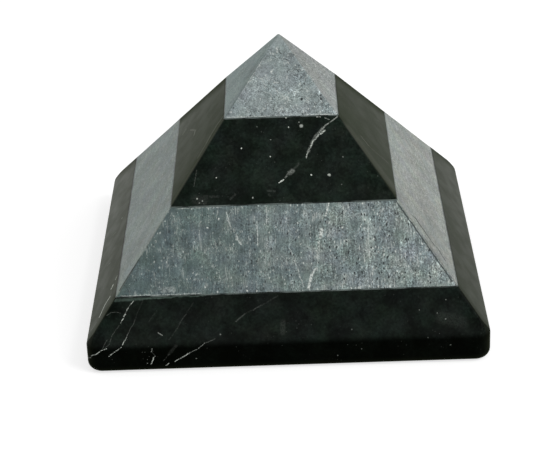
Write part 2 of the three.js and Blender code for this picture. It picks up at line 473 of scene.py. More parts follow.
# Marks of the upper slab: pale veins and specks, places strewn with dust, and scratches, among them a
# painted sheen along the left ridge. Those that the photograph shows were measured on it, and the back's are
# made up in their style.
UPPER_MARKS = {
    "veins": [
        (FRONT, 0.55, 0.32, [(10.0, 36.4), (8.8, 35.7), (7.8, 35.2), (7.1, 34.6), (6.6, 34.1)]),
        (FRONT, 0.3, 0.8, [(7.2, 34.7), (6.0, 33.7), (5.2, 32.6), (4.6, 31.5)]),
        (FRONT, 1.0, 0.46, [(7.6, 34.45), (6.9, 34.0)]),
        (FRONT, 0.7, 0.42, [(6.5, 33.9), (6.1, 33.4), (5.5, 33.0)]),
        (FRONT, 0.95, 0.36, [(5.5, 33.0), (5.1, 32.4), (4.9, 32.0)]),
        (FRONT, 0.5, 0.45, [(4.9, 32.0), (4.5, 31.5)]),
        (FRONT, 0.8, 0.25, [(4.5, 31.5), (4.2, 30.6)]),
        (FRONT, 0.1, 0.6, [(2.9, 29.9), (1.9, 29.0)]),
        (FRONT, 0.34, 1.2, [(1.7, 28.9), (1.2, 28.6)]),
        (FRONT, 0.34, 0.5, [(1.0, 28.55), (0.4, 28.0)]),
        (FRONT, 1.0, 0.28, [(0.1, 27.7), (-0.7, 27.3)]),
        (FRONT, 0.09, 0.6, [(-2.7, 26.2), (-1.6, 26.1)]),
        (FRONT, 0.09, 0.6, [(-2.5, 25.7), (-2.4, 25.5)]),
        (FRONT, 0.09, 0.6, [(-9.3, 25.2), (-8.5, 25.8)]),
        (FRONT, 0.07, 0.8, [(-14.0, 25.7), (-11.4, 25.6)]),
        (FRONT, 0.07, 2.8, [(-15.3, 25.2), (-14.0, 25.1)]),
        (FRONT, 0.16, 0.25, [(-15.1, 29.4), (-15.6, 27.2)]),
        (FRONT, 0.85, 0.26, [(6.3, 36.45), (6.9, 36.4)]),
        (FRONT, 0.45, 0.25, [(7.7, 36.25), (8.5, 36.0)]),
        (BACK, 0.6, 0.24, [(-6.4, 36.5), (-5.4, 34.9), (-4.6, 33.6)]),
        (BACK, 0.9, 0.3, [(-4.6, 33.6), (-4.2, 32.4), (-3.0, 30.9)]),
        (BACK, 0.3, 0.3, [(-3.0, 30.9), (-0.6, 28.7), (0.3, 26.9)]),
        (BACK, 0.8, 0.24, [(11.9, 29.3), (10.8, 27.7), (10.3, 26.4)]),
    ],
    "specks": [
        (FRONT, 0.62, 0.44, (3.5, 35.2)),
        (FRONT, 0.5, 0.16, (3.2, 35.8)),
        (FRONT, 1.0, 0.17, (1.3, 35.1)),
        (FRONT, 0.9, 0.22, (0.8, 36.45)),
        (FRONT, 0.25, 0.15, (-4.3, 35.3)),
        (FRONT, 0.5, 0.14, (-2.0, 33.4)),
        (FRONT, 1.0, 0.16, (-7.2, 32.3)),
        (FRONT, 1.0, 0.17, (-2.1, 31.0)),
        (FRONT, 0.9, 0.18, (-11.7, 28.3)),
        (FRONT, 1.0, 0.18, (5.0, 28.2)),
        (FRONT, 0.7, 0.34, (8.1, 28.1)),
        (FRONT, 0.75, 0.18, (-5.4, 25.3)),
        (FRONT, 0.3, 0.18, (10.6, 30.6)),
        (FRONT, 0.25, 0.18, (10.2, 26.8)),
        (FRONT, 0.7, 0.22, (-15.1, 25.4)),
        (FRONT, 0.55, 0.2, (-14.2, 25.1)),
        (FRONT, 0.5, 0.18, (-14.8, 24.8)),
    ],
    "dust": [
        (FRONT, 0.8, 1.5, (-14.8, 25.1)),
    ],
    "scratches_and_sheen": [
        # painted sheen along the flat of the left ridge, drawn as a wide faint scratch
        (LEFT, 0.12, 2.2, [(-9.6, 36.4), (-14.2, 30.5), (-18.6, 24.6)]),
        (LEFT, 0.25, 1.2, [(-8.2, 36.3), (-8.6, 34.8), (-9.6, 33.5), (-10.9, 32.4), (-12.6, 30.6)]),
        (LEFT, 0.4, 0.6, [(-9.8, 33.3), (-10.9, 32.4)]),
        (LEFT, 0.35, 0.5, [(8.8, 25.7), (9.4, 26.5)]),
        (LEFT, 0.3, 0.5, [(6.1, 27.7), (2.2, 29.3)]),
        (LEFT, 0.5, 0.6, [(2.3, 29.1), (0.9, 28.9)]),
        (LEFT, 0.25, 0.6, [(14.7, 24.6), (14.8, 25.4)]),
        (RIGHT, 0.12, 5.0, [(-11.0, 34.0), (-16.0, 25.0)]),
        (RIGHT, 0.5, 0.3, [(-8.0, 31.5), (-8.6, 29.8)]),
        (RIGHT, 0.2, 0.3, [(-8.6, 29.8), (-7.6, 27.5), (-6.4, 25.2)]),
    ],
}

# The same of the base slab, whose front veins run down over the rim, without scratches. The ground
# places are a strip along the top edge that is left unpolished.
BASE_MARKS = {
    "veins": [
        (FRONT, 0.3, 0.2, [(-26.5, 11.5), (-27.0, 11.1), (-27.7, 10.2), (-28.3, 9.2)]),
        (FRONT, 0.8, 0.22, [(-26.5, 11.5), (-27.0, 11.1)]),
        (FRONT, 0.6, 0.2, [(-27.4, 10.6), (-27.7, 10.2)]),
        (FRONT, 0.7, 0.3, [(-27.9, 9.75), (-28.2, 9.5)]),
        (FRONT, 0.85, 0.24, [(-28.3, 9.2), (-28.8, 8.6)]),
        (FRONT, 0.16, 0.22, [(-29.1, 8.2), (-29.7, 7.6), (-30.4, 6.7), (-30.8, 5.7), (-31.6, 5.1)]),
        (FRONT, 0.16, 0.18, [(-31.0, 6.4), (-31.6, 5.8), (-32.0, 5.1)]),
        (FRONT, 1.0, 0.24, [(-31.3, 5.0), (-32.3, 4.7), (-33.1, 4.0)]),
        (FRONT, 0.8, 0.2, [(-33.1, 4.0), (-34.6, 3.0)]),
        (FRONT, 0.19, 0.17, [(-31.2, 9.7), (-30.4, 10.05), (-29.4, 10.1), (-28.8, 9.95)]),
        (FRONT, 0.06, 0.26, [(-24.9, 11.6), (-25.8, 10.0), (-26.3, 8.9)]),
        (FRONT, 0.14, 0.25, [(-26.3, 8.9), (-26.8, 8.1), (-27.4, 7.3)]),
        (FRONT, 0.3, 0.2, [(-27.5, 7.2), (-27.8, 6.6)]),
        (FRONT, 0.45, 0.2, [(-27.8, 6.6), (-28.1, 6.2)]),
        (FRONT, 0.85, 0.21, [(-28.1, 6.2), (-28.5, 5.6)]),
        (FRONT, 0.85, 0.2, [(-28.7, 5.2), (-30.0, 4.3), (-31.0, 3.5)]),
        (FRONT, 0.6, 0.24, [(-23.4, 4.8), (-23.6, 4.2)]),
        (FRONT, 0.2, 0.16, [(-23.6, 4.2), (-23.1, 3.5)]),
        (FRONT, 0.9, 0.24, [(-23.1, 3.3), (-23.4, 2.6), (-23.8, 1.7)]),
        (FRONT, 0.07, 0.3, [(-1.5, 11.6), (-4.3, 10.4)]),
        (FRONT, 0.14, 0.34, [(-4.3, 10.4), (-5.9, 9.8)]),
        (FRONT, 0.06, 0.3, [(-5.9, 9.8), (-7.3, 9.3)]),
        (FRONT, 0.15, 0.36, [(-7.3, 9.3), (-8.9, 8.3)]),
        (FRONT, 0.07, 1.4, [(-0.8, 8.0), (-0.9, 6.6)]),
        (FRONT, 0.2, 0.2, [(-12.6, 6.0), (-14.4, 5.4)]),
        (FRONT, 0.45, 0.22, [(-14.4, 5.4), (-15.4, 4.6), (-17.0, 3.7)]),
        (FRONT, 0.9, 0.24, [(-17.0, 3.7), (-19.7, 2.1)]),
        (FRONT, 0.8, 0.26, [(-20.8, 1.75), (-21.2, 1.35)]),
        (FRONT, 0.06, 0.28, [(-16.2, 11.0), (-17.5, 9.5)]),
        (FRONT, 0.11, 0.25, [(-17.5, 9.5), (-18.4, 8.5), (-19.3, 7.3)]),
        (FRONT, 0.07, 0.28, [(-19.3, 7.3), (-20.5, 6.1)]),
        (FRONT, 0.06, 0.3, [(-22.5, 10.1), (-23.9, 8.7)]),
        (FRONT, 0.07, 0.9, [(-19.3, 5.2), (-20.6, 3.6)]),
        (FRONT, 0.16, 0.22, [(-20.6, 3.6), (-21.7, 2.3)]),
        (FRONT, 0.42, 0.26, [(-22.4, 7.1), (-21.6, 6.75)]),
        (FRONT, 0.05, 3.6, [(26.6, 7.9), (29.8, 7.2)]),
        (LEFT, 0.7, 0.6, [(-20.6, 11.5), (-21.2, 11.2)]),
        (LEFT, 0.9, 0.8, [(-22.4, 10.7), (-23.0, 10.4)]),
        (LEFT, 0.3, 0.4, [(-24.4, 10.5), (-26.0, 10.3)]),
        (LEFT, 0.9, 0.6, [(-26.0, 10.3), (-26.4, 9.6), (-26.9, 9.1)]),
        (LEFT, 1.0, 0.5, [(-26.9, 9.1), (-27.9, 8.6), (-29.2, 8.1)]),
        (LEFT, 0.3, 0.4, [(-30.0, 7.4), (-30.3, 6.2)]),
        (LEFT, 0.6, 0.24, [(-34.2, 2.9), (-32.9, 2.2), (-31.2, 1.9)]),
        (LEFT, 0.2, 0.4, [(2.0, 9.0), (2.5, 8.1)]),
        (LEFT, 0.25, 0.4, [(-10.0, 8.7), (-9.6, 7.9)]),
        (RIGHT, 0.5, 0.22, [(14.6, 4.9), (16.0, 3.9), (16.7, 2.3)]),
        (BACK, 0.5, 0.24, [(-20.3, 11.9), (-22.4, 9.4), (-24.1, 7.0), (-25.0, 5.2)]),
        (BACK, 0.9, 0.24, [(-25.0, 5.2), (-26.6, 3.9), (-27.5, 2.4)]),
        (BACK, 0.2, 0.3, [(9.5, 11.8), (12.6, 9.2), (14.4, 7.1)]),
        (BACK, 0.8, 0.22, [(14.4, 7.1), (16.1, 5.4), (17.0, 3.9)]),
    ],
    "specks": [
        (FRONT, 0.35, 0.2, (-11.6, 6.6)),
        (FRONT, 0.6, 0.2, (-16.0, 2.6)),
        (FRONT, 0.6, 0.14, (-24.4, 1.9)),
        (FRONT, 0.3, 0.16, (22.7, 9.0)),
        (FRONT, 0.35, 0.17, (25.8, 8.5)),
        (FRONT, 0.35, 0.16, (27.4, 10.3)),
        (FRONT, 0.4, 0.18, (27.2, 7.7)),
        (FRONT, 0.25, 0.18, (11.0, 6.7)),
        (FRONT, 0.3, 0.18, (12.6, 3.4)),
        (FRONT, 0.3, 0.18, (8.5, 2.3)),
        (FRONT, 0.35, 0.18, (27.9, 3.6)),
        (LEFT, 0.4, 0.3, (5.4, 10.2)),
    ],
    "dust": [
        (FRONT, 0.4, 2.0, (-24.2, 3.4)),
    ],
    "ground": [
        (FRONT, 0.55, 0.75, [(-30.0, 11.7), (-25.0, 11.8)]),
        (FRONT, 0.75, 0.5, [(-25.0, 11.8), (-20.0, 11.9)]),
        (FRONT, 0.7, 0.3, [(-20.0, 11.9), (-14.0, 11.97)]),
    ],
}

# The two shungites. The polish changes between the heights of a slab's foot and head. From a side's
# middle it falls by "along_rise" to one ridge and grows by it to the other.
BASE_LOOK = {
    "lightness": 1.1, "clouds": (0.52, 1.52),
    "polish": 0.5, "near_ridge": 0.4, "along_middle": 0.84, "along_rise": 0.14, "heights": (6.0, 12.0),
}
UPPER_LOOK = {
    "lightness": 1.75, "clouds": (0.67, 1.35),
    "polish": 0.245, "near_ridge": 0.1, "along_middle": 0.96, "along_rise": 0.4, "heights": (24.4, 36.5),
}

# Patterns of the shungites. "across" is a range of the noise, and "between" what it is carried to.
RIM_HEIGHTS = (4.5, 6.0)  # below the rim the plinth is left unpolished, and its colour is darkened there as painted shade
# share of the stone's colour left on the plinth: painted shade for the dark that the plinth faces below it
PLINTH_PAINTED_SHADE = 0.2
SHUNGITE_WOBBLE = {"Size": 0.8, "Amount": 0.2}
VEIN_BREAKS = {"size": 0.24, "detail": 2.0, "roughness": 0.6, "across": (0.36, 0.54), "between": (0.25, 1.0)}
SPECK_BREAKS = (0.7, 1.0)
STREWN_SPECKS = {"Spacing": 1.5, "Radius": 0.17, "Share": 0.08}
STREWN_STRENGTH = 0.25
DUST_GRAINS = {"Spacing": 0.36, "Radius": 0.1, "Share": 0.35}
DUST_PATCHES = {"size": 3.5, "detail": 3.0, "across": (0.5, 0.66), "between": (0.0, 0.2)}
SHUNGITE_GRAIN = (0.4, 0.4, 0.4)
FRONT_CONTRAST = 3.0
FLANK_CONTRAST = 1.6
SHUNGITE_CLOUDS = {"size": 4.5, "detail": 4.0, "roughness": 0.6, "across": (0.38, 0.62)}
FLANK_CALM = 0.6  # share of the clouds that the flanks lack
GREEN_PATCHES = {"size": 3.5, "detail": 4.0, "across": (0.36, 0.64)}
SHUNGITE_TINGE = {"size": 4.0, "detail": 2.0, "depths": (0.35, 0.3, 0.35)}
FLANK_TINGE = 0.4  # share of the tinge that the flanks have
GROUND_GRAIN = {"across": (0.2, 0.8), "between": (0.6, 1.0)}
CHIP_PALENESS = 0.35
VEIN_FALL = 1.4
POLISH_SMEARS = {"size": 3.0, "detail": 2.0, "across": (0.3, 0.7), "between": (0.8, 1.17)}
RIDGE_REACH = (0.0, 4.5)
POLISH_BY_HEIGHT = (1.14, 0.88)
POLISH_PLACES = (-10.0, 10.0)
POLISH_FROM_LEFT = (1.04, 0.8)
POLISH_ON_MARKS = 0.25
FRONT_GRIT = 0.4
FLANK_GRIT = 0.06
MARK_DEPTH = 0.6

# Colours of the shungites
SHUNGITE_GREEN = (0.0043, 0.0070, 0.0052, 1)
SHUNGITE_GREYER = (0.0048, 0.0068, 0.0055, 1)
# the flanks' colour is paler than the front's as painted light of the slopes seen almost edge on
SHUNGITE_FLANK = (0.0084, 0.0102, 0.0076, 1)
GROUND_SHUNGITE = (0.09, 0.127, 0.107, 1)
CHIPPED_SHUNGITE = (0.05, 0.056, 0.05, 1)
# colour of the scratches and of the painted sheen along the left ridge
SCRATCH_AND_SHEEN_SHUNGITE = (0.2, 0.2, 0.18, 1)
SHUNGITE_VEIN = (0.68, 0.73, 0.66, 1)

# The film of dust shows only where a slope is seen almost edge on
SHUNGITE_FINISH = {
    "Roughness": 0.55, "Specular IOR Level": 0.0, "Coat IOR": 1.2, "Coat Roughness": 0.3,
    "Sheen Weight": 0.12, "Sheen Roughness": 0.4, "Sheen Tint": (0.84, 1.0, 0.6, 1),
}
SHUNGITE_BUMP = {"Strength": 0.4, "Distance": 0.02 * MM}


def shungite_pale(tree, point, sheet, marks):
    """Where veins, specks and dust lie."""
    broken = drift(tree, point, **VEIN_BREAKS)
    vein = product(tree, draw_veins(tree, sheet, marks["veins"]), broken)
    specks = product(tree, draw_spots(tree, sheet, marks["specks"]), ramp(tree, broken, ALL, SPECK_BREAKS))
    strewn = use_group(tree, "scattered", Point=point, **STREWN_SPECKS)[0]
    dusty = largest(tree, [drift(tree, point, **DUST_PATCHES), draw_spots(tree, sheet, marks["dust"])])
    dust = use_group(tree, "scattered", Point=point, **DUST_GRAINS)[0]
    return largest(tree, [vein, specks, product(tree, strewn, STREWN_STRENGTH), product(tree, dust, dusty)])


def shungite_color(tree, point, flank, slope, tone, look):
    """The black of the stone, clouded and tinged, darker on the plinth by painted shade and calmer on the
    flanks, whose paler colour is painted light.
    """
    contrast = mix_value(tree, flank, FRONT_CONTRAST, FLANK_CONTRAST)
    mottled = calculate(tree, "POWER", contrast, from_middle(tree, tone))
    clouds = drift(tree, point, between=look["clouds"], **SHUNGITE_CLOUDS)
    clouds = mix_value(tree, product(tree, flank, FLANK_CALM), clouds, 1.0)
    # painted shade: the colour falls to a share of itself below the rim
    plinth = ramp(tree, slope, ALL, (PLINTH_PAINTED_SHADE, 1.0))
    shade = product(tree, mottled, clouds, look["lightness"], plinth)
    color = mix_color(tree, drift(tree, point, **GREEN_PATCHES), SHUNGITE_GREEN, SHUNGITE_GREYER)
    # painted light: the flanks take the paler flank colour
    color = mix_color(tree, flank, color, SHUNGITE_FLANK)
    tinge_share = mix_value(tree, flank, 1.0, FLANK_TINGE)
    color = tinted(tree, color, tinge(tree, point, **SHUNGITE_TINGE), tinge_share)
    return tinted(tree, color, grey(tree, shade))


def shungite_polish(tree, point, laid, slope, marked, look):
    """The polish of the slopes: smeared, thin beside the ridges and towards one side, and off on marks."""
    place, _, height = split_vector(tree, point)
    ridge = ramp(tree, laid["Ridge"], RIDGE_REACH, (look["near_ridge"], 1.0))
    along = calculate(tree, "MULTIPLY_ADD", laid["Along"], look["along_rise"], look["along_middle"])
    by_height = ramp(tree, height, look["heights"], POLISH_BY_HEIGHT)
    from_left = ramp(tree, place, POLISH_PLACES, POLISH_FROM_LEFT)
    kept = ramp(tree, marked, ALL, (1.0, POLISH_ON_MARKS))
    smears = drift(tree, point, **POLISH_SMEARS)
    return product(tree, smears, ridge, along, by_height, from_left, slope, look["polish"], kept)


def shungite_material(name, marks, look):
    """Black carbon stone, polished on the slopes, and left dull and darkened by painted shade on the plinth.
    """
    material, tree = new_material(name)
    point = point_in_mm(tree)
    laid = use_group(tree, "side_sheet", Point=point)
    sheet = use_group(tree, "wobble", Point=laid["Sheet"], **SHUNGITE_WOBBLE)[0]
    slope = ramp(tree, split_vector(tree, point)[2], RIM_HEIGHTS)
    tone = use_group(tree, "grains", Point=point, Size=SHUNGITE_GRAIN)[0]
    chipped = worn_share(tree, "chipped")
    pale = shungite_pale(tree, point, sheet, marks)
    ground = draw_veins(tree, sheet, marks.get("ground", []))

    color = shungite_color(tree, point, laid["Flank"], slope, tone, look)
    color = painted(tree, color, [
        (product(tree, ground, ramp(tree, tone, **GROUND_GRAIN)), GROUND_SHUNGITE),
        (product(tree, chipped, CHIP_PALENESS), CHIPPED_SHUNGITE),
        # scratches, and a painted sheen along the left ridge
        (draw_veins(tree, sheet, marks.get("scratches_and_sheen", [])), SCRATCH_AND_SHEEN_SHUNGITE),
        (calculate(tree, "POWER", pale, VEIN_FALL), SHUNGITE_VEIN),
    ])
    marked = largest(tree, [pale, chipped, ground])
    grit = product(tree, tone, mix_value(tree, laid["Flank"], FRONT_GRIT, FLANK_GRIT))
    relief = calculate(tree, "SUBTRACT", grit, product(tree, pale, MARK_DEPTH))
    bump = add_node(tree, "ShaderNodeBump", {"Height": relief, **SHUNGITE_BUMP})
    finish_with(tree, {
        "Base Color": color,
        "Coat Weight": shungite_polish(tree, point, laid, slope, marked, look),
        "Normal": bump.outputs[0],
        **SHUNGITE_FINISH,
    })
    return material


# Marks of the two soapstones: pale veins, dark cracks along the ridges, pale specks and dark nicks
LOWER_MARKS = {
    "veins": [
        (FRONT, 1.0, 0.42, [(7.8, 24.2), (7.5, 23.2), (7.2, 22.4)]),
        (FRONT, 0.9, 0.8, [(6.4, 20.5), (6.2, 19.5)]),
        (FRONT, 0.6, 0.3, [(6.0, 19.0), (5.7, 18.1)]),
        (FRONT, 0.45, 0.22, [(5.7, 18.1), (5.5, 15.8)]),
        (FRONT, 0.75, 0.5, [(5.4, 15.2), (4.9, 14.9), (4.4, 14.3)]),
        (FRONT, 1.0, 0.6, [(4.4, 14.3), (4.1, 13.4), (3.8, 12.5)]),
        (FRONT, 0.4, 0.3, [(0.7, 18.1), (1.5, 16.7), (2.7, 13.4), (2.9, 12.7)]),
        (FRONT, 0.4, 0.26, [(-3.0, 23.9), (-3.1, 21.6)]),
        (FRONT, 0.65, 0.24, [(-4.8, 21.9), (-4.7, 18.5)]),
        (FRONT, 0.5, 0.3, [(-10.1, 23.4), (-9.3, 21.0)]),
        (FRONT, 0.7, 0.44, [(-8.5, 20.3), (-8.2, 19.6), (-7.7, 18.9)]),
        (FRONT, 0.25, 1.5, [(-21.3, 12.9), (-19.6, 12.9)]),
        (FRONT, 0.5, 0.2, [(-28.6, 12.27), (-15.0, 12.25)]),
        (FRONT, 0.4, 0.2, [(-18.6, 24.12), (-11.0, 24.12)]),
    ],
    "cracks": [
        (FRONT, 0.9, 0.36, [(19.6, 24.1), (20.4, 23.1), (22.7, 20.3), (25.1, 17.2), (28.6, 12.8)]),
        (LEFT, 0.9, 0.9, [(-28.3, 12.9), (-26.6, 15.2), (-24.9, 18.3)]),
        (RIGHT, 0.6, 0.5, [(-19.7, 21.3), (-19.2, 20.3)]),
        (RIGHT, 1.0, 0.75, [(-19.2, 20.3), (-20.9, 18.3)]),
        (RIGHT, 0.95, 0.6, [(-20.9, 18.3), (-22.3, 16.4)]),
        (RIGHT, 0.4, 0.4, [(-22.3, 16.4), (-22.0, 15.7)]),
        (RIGHT, 0.85, 0.65, [(-22.0, 15.7), (-23.8, 14.2)]),
        (RIGHT, 0.4, 0.4, [(-23.8, 14.2), (-24.7, 13.4)]),
    ],
    "specks": [
        (FRONT, 0.9, 0.18, (-13.5, 21.3)),
        (FRONT, 0.9, 0.18, (-11.4, 22.5)),
        (FRONT, 0.9, 0.18, (-14.1, 13.1)),
        (FRONT, 0.7, 0.16, (-15.6, 14.8)),
        (FRONT, 1.0, 0.17, (-6.8, 12.4)),
        (FRONT, 0.7, 0.16, (2.6, 18.6)),
        (FRONT, 0.8, 0.18, (-2.9, 14.1)),
        (FRONT, 0.7, 0.16, (-0.2, 13.2)),
        (FRONT, 1.0, 0.2, (10.0, 20.7)),
        (FRONT, 1.0, 0.2, (15.2, 17.7)),
        (FRONT, 0.9, 0.18, (14.1, 21.7)),
        (FRONT, 0.9, 0.18, (13.9, 20.5)),
        (FRONT, 0.8, 0.18, (15.6, 23.0)),
        (FRONT, 0.9, 0.18, (19.3, 14.4)),
        (FRONT, 0.9, 0.2, (14.3, 12.5)),
    ],
    "nicks": [
        (FRONT, 1.0, 0.2, (-5.9, 16.2)),
        (FRONT, 0.9, 0.18, (-19.2, 18.4)),
        (FRONT, 0.9, 0.18, (-12.2, 15.7)),
        (FRONT, 0.8, 0.16, (-12.6, 16.4)),
        (FRONT, 0.9, 0.22, (6.3, 21.6)),
        (FRONT, 1.0, 0.17, (10.0, 22.7)),
        (FRONT, 1.0, 0.17, (10.0, 22.3)),
        (FRONT, 0.9, 0.2, (9.6, 20.3)),
        (FRONT, 0.9, 0.17, (7.1, 15.8)),
        (FRONT, 1.0, 0.2, (7.2, 14.8)),
        (FRONT, 0.8, 0.17, (8.4, 15.2)),
        (FRONT, 0.9, 0.18, (10.1, 15.8)),
        (FRONT, 0.9, 0.2, (14.4, 22.3)),
        (FRONT, 1.0, 0.22, (14.9, 17.8)),
        (FRONT, 1.0, 0.2, (20.4, 13.6)),
        (FRONT, 0.9, 0.2, (16.3, 15.4)),
        (FRONT, 0.9, 0.2, (22.4, 14.4)),
        (FRONT, 0.8, 0.18, (11.4, 24.0)),
        (FRONT, 0.9, 0.2, (15.6, 22.1)),
        (FRONT, 0.8, 0.18, (17.4, 19.6)),
        (FRONT, 0.9, 0.22, (10.2, 22.6)),
        (FRONT, 0.9, 0.22, (24.8, 14.0)),
    ],
}
TIP_MARKS = {
    "veins": [
        (FRONT, 0.9, 0.2, [(1.3, 42.4), (1.2, 41.9)]),
        (FRONT, 0.8, 0.2, [(4.1, 37.6), (4.0, 37.0)]),
        (FRONT, 0.5, 0.24, [(-9.4, 36.75), (-2.0, 36.75)]),
        (FRONT, 0.6, 0.24, [(4.2, 36.75), (9.8, 36.75)]),
        (FRONT, 0.5, 0.5, [(-7.1, 40.0), (-3.0, 45.0)]),
        (FRONT, 0.9, 0.45, [(-5.75, 41.7), (-4.85, 42.8)]),
        (FRONT, 1.0, 0.3, [(-0.35, 46.4), (-0.35, 45.8)]),
    ],
    "cracks": [
        (FRONT, 0.8, 0.24, [(0.0, 46.15), (0.1, 45.7), (0.4, 45.5)]),
        (FRONT, 0.8, 0.2, [(2.6, 43.3), (3.1, 43.3), (3.3, 42.9)]),
        (FRONT, 0.12, 2.6, [(0.0, 45.6), (1.6, 45.4)]),
        (LEFT, 0.16, 3.5, [(-1.6, 44.8), (-3.2, 42.0)]),
        (LEFT, 0.13, 2.4, [(-9.9, 36.8), (-3.0, 45.0)]),
        (LEFT, 0.4, 0.9, [(-9.6, 37.0), (-8.1, 38.9)]),
    ],
    "specks": [
        (FRONT, 1.0, 0.2, (-1.5, 43.1)),
        (FRONT, 0.8, 0.15, (0.8, 38.5)),
        (FRONT, 0.8, 0.15, (5.9, 37.9)),
        (FRONT, 0.9, 0.16, (8.6, 37.8)),
        (FRONT, 0.7, 0.15, (9.3, 37.2)),
        (FRONT, 0.9, 0.16, (-8.8, 37.5)),
    ],
    "nicks": [
        (FRONT, 0.9, 0.18, (3.1, 46.4)),
        (FRONT, 0.7, 0.16, (2.0, 38.9)),
        (FRONT, 0.5, 0.2, (0.1, 45.0)),
    ],
}

# The two soapstones. Sizes are in millimetres along X, Y and Z, and the streaks of the lower slab run
# up its front. The end tints tint the stone from its left end to its right end and are partly painted light,
# brighter towards the key lamp on the right, and partly stone that is bluer at its left end. The flank tints
# tint the flanks once more, as painted light and shade of the flanks.
# The flanks' grain is a share of the front's, on the left and on the right.
LOWER_LOOK = {
    "cool": (0.138, 0.177, 0.178, 1), "warm": (0.158, 0.189, 0.182, 1),
    "left_end_tint_and_shade": (0.52, 0.61, 0.615, 1), "right_end_tint_and_light": (1.31, 1.29, 1.28, 1),
    "left_flank_painted_light": (2.0, 1.75, 1.6, 1), "right_flank_painted_light": (1.1, 1.0, 0.93, 1),
    "flank_grain": (0.55, 0.42),
    "bands": (2.2, 14.0, 14.0), "streaks": (0.34, 2.6, 2.6), "grain": (0.17, 0.26, 0.26),
    "lines": (0.18, 2.8, 2.8), "flecks": (0.17, 0.28, 0.28),
    "contrast": 5.2, "patching": 1.0, "tinge": (0.15, 0.2, 0.28), "near_shade": 0.82,
    "line_level": 0.67, "fleck_level": 0.7, "pits": 0.42, "threads": 0.0, "polish": 0.3,
}
TIP_LOOK = {
    "cool": (0.233, 0.277, 0.280, 1), "warm": (0.240, 0.282, 0.280, 1),
    "left_end_tint_and_shade": (0.97, 0.97, 0.97, 1), "right_end_tint_and_light": (1.03, 1.03, 1.03, 1),
    "left_flank_painted_light": (0.884, 0.955, 0.919, 1), "right_flank_painted_light": (0.958, 0.884, 0.845, 1),
    "flank_grain": (0.45, 0.75),
    "bands": (4.0, 4.0, 4.0), "streaks": (0.6, 0.6, 0.6), "grain": (0.15, 0.19, 0.15),
    "lines": (0.3, 0.5, 0.5), "flecks": (0.2, 0.3, 0.22),
    "contrast": 5.8, "patching": 0.7, "tinge": (0.1, 0.1, 0.1), "near_shade": 1.05,
    "line_level": 0.74, "fleck_level": 0.69, "pits": 0.14, "threads": 0.8, "polish": 0.0,
}

# Patterns of the soapstones
SOAPSTONE_ENDS = (-28.0, 27.0)
SOAPSTONE_WOBBLE = {"Size": 1.0, "Amount": 0.2}
GRAIN_WOBBLE = {"Size": 5.0, "Amount": 0.3}
PIT_WOBBLE = {"Size": 0.3, "Amount": 0.14}
RUBBED_HEIGHTS = (46.2, 47.2)  # the very point of the tip is rubbed smooth
RUBBED_GRAIN = 0.35
STREAK_CLOUD = {"size": 1.0, "detail": 2.0}
BAND_CLOUD = {"size": 1.0, "detail": 3.0, "roughness": 0.6}
PATCH_CLOUD = {"size": 2.2, "detail": 3.0, "roughness": 0.6}
CLOUD_RANGE = (0.3, 0.7)
PATCH_SHADES = (0.85, 1.17)
BAND_SHADES = (0.84, 1.16)
FLANK_CLOUDS = {"size": 6.0, "detail": 1.0, "across": (0.3, 0.7), "between": (0.87, 1.13)}
NEAR_RIDGE = (-1.0, 0.3)  # along the right flank, from its front ridge
BUSY_PATCHES = {"size": 2.6, "detail": 2.0, "across": (0.38, 0.62), "between": (0.6, 1.3)}
GRAIN_FROM_LEFT = (0.55, 1.15)
PITS_FROM_LEFT = (0.6, 1.3)
CROWDING = 0.6
LINE_STRENGTH = 0.5
FLECK_STRENGTH = 0.7
DARK_FLECK_STRENGTH = 0.4
DARK_FLECK_SHIFT = (0.3, 9.1, 0.3)
THREADS = {"Size": 1.5, "Width": 0.025, "Share": 0.48}
PIT_STRETCH = (1.0, 0.58, 0.58)
PIT_SPACING = 0.42
PIT_RADIUS = 0.2
# painted highlights: pale specks for the lit rims of pits
LIT_RIM_RADIUS = 0.17
LIT_RIM_SHIFT = (5.3, 8.1, 3.7)
LIT_RIM_GRAIN = {"across": (0.2, 0.7), "between": (0.3, 1.0)}
VEIN_GRAIN = {"across": (0.25, 0.6), "between": (0.2, 1.0)}
CRACK_GRAIN = {"across": (0.2, 0.5), "between": (0.6, 1.0)}
WARM_RANGE = (0.38, 0.62)
WARM_PATCHES = 0.5  # share of the patches in what is warm, and the rest is the bands'
SOAPSTONE_TINGE = {"size": 3.2, "detail": 2.0}
PITTED_SHARE = 0.5
CHIPPED_SHARE = 0.6
PALE_HEIGHT = 0.5
DULLNESS = {"across": (0.2, 0.8), "between": (0.7, 0.52)}

# Colours of the soapstones
# colour of pale minerals and of the painted highlights on pit rims
PALE_MINERAL_AND_HIGHLIGHT = (0.64, 0.68, 0.64, 1)
DARK_MINERAL = (0.02, 0.027, 0.028, 1)
PITTED_SOAPSTONE = (0.05, 0.06, 0.063, 1)
SOAPSTONE_VEIN = (0.66, 0.7, 0.66, 1)
CHIPPED_SOAPSTONE = (0.42, 0.47, 0.44, 1)
SOAPSTONE_CRACK = (0.03, 0.038, 0.036, 1)

SOAPSTONE_FINISH = {"Specular IOR Level": 0.3, "Coat IOR": 1.2, "Coat Roughness": 0.35}
SOAPSTONE_BUMP = {"Strength": 0.8, "Distance": 0.05 * MM}


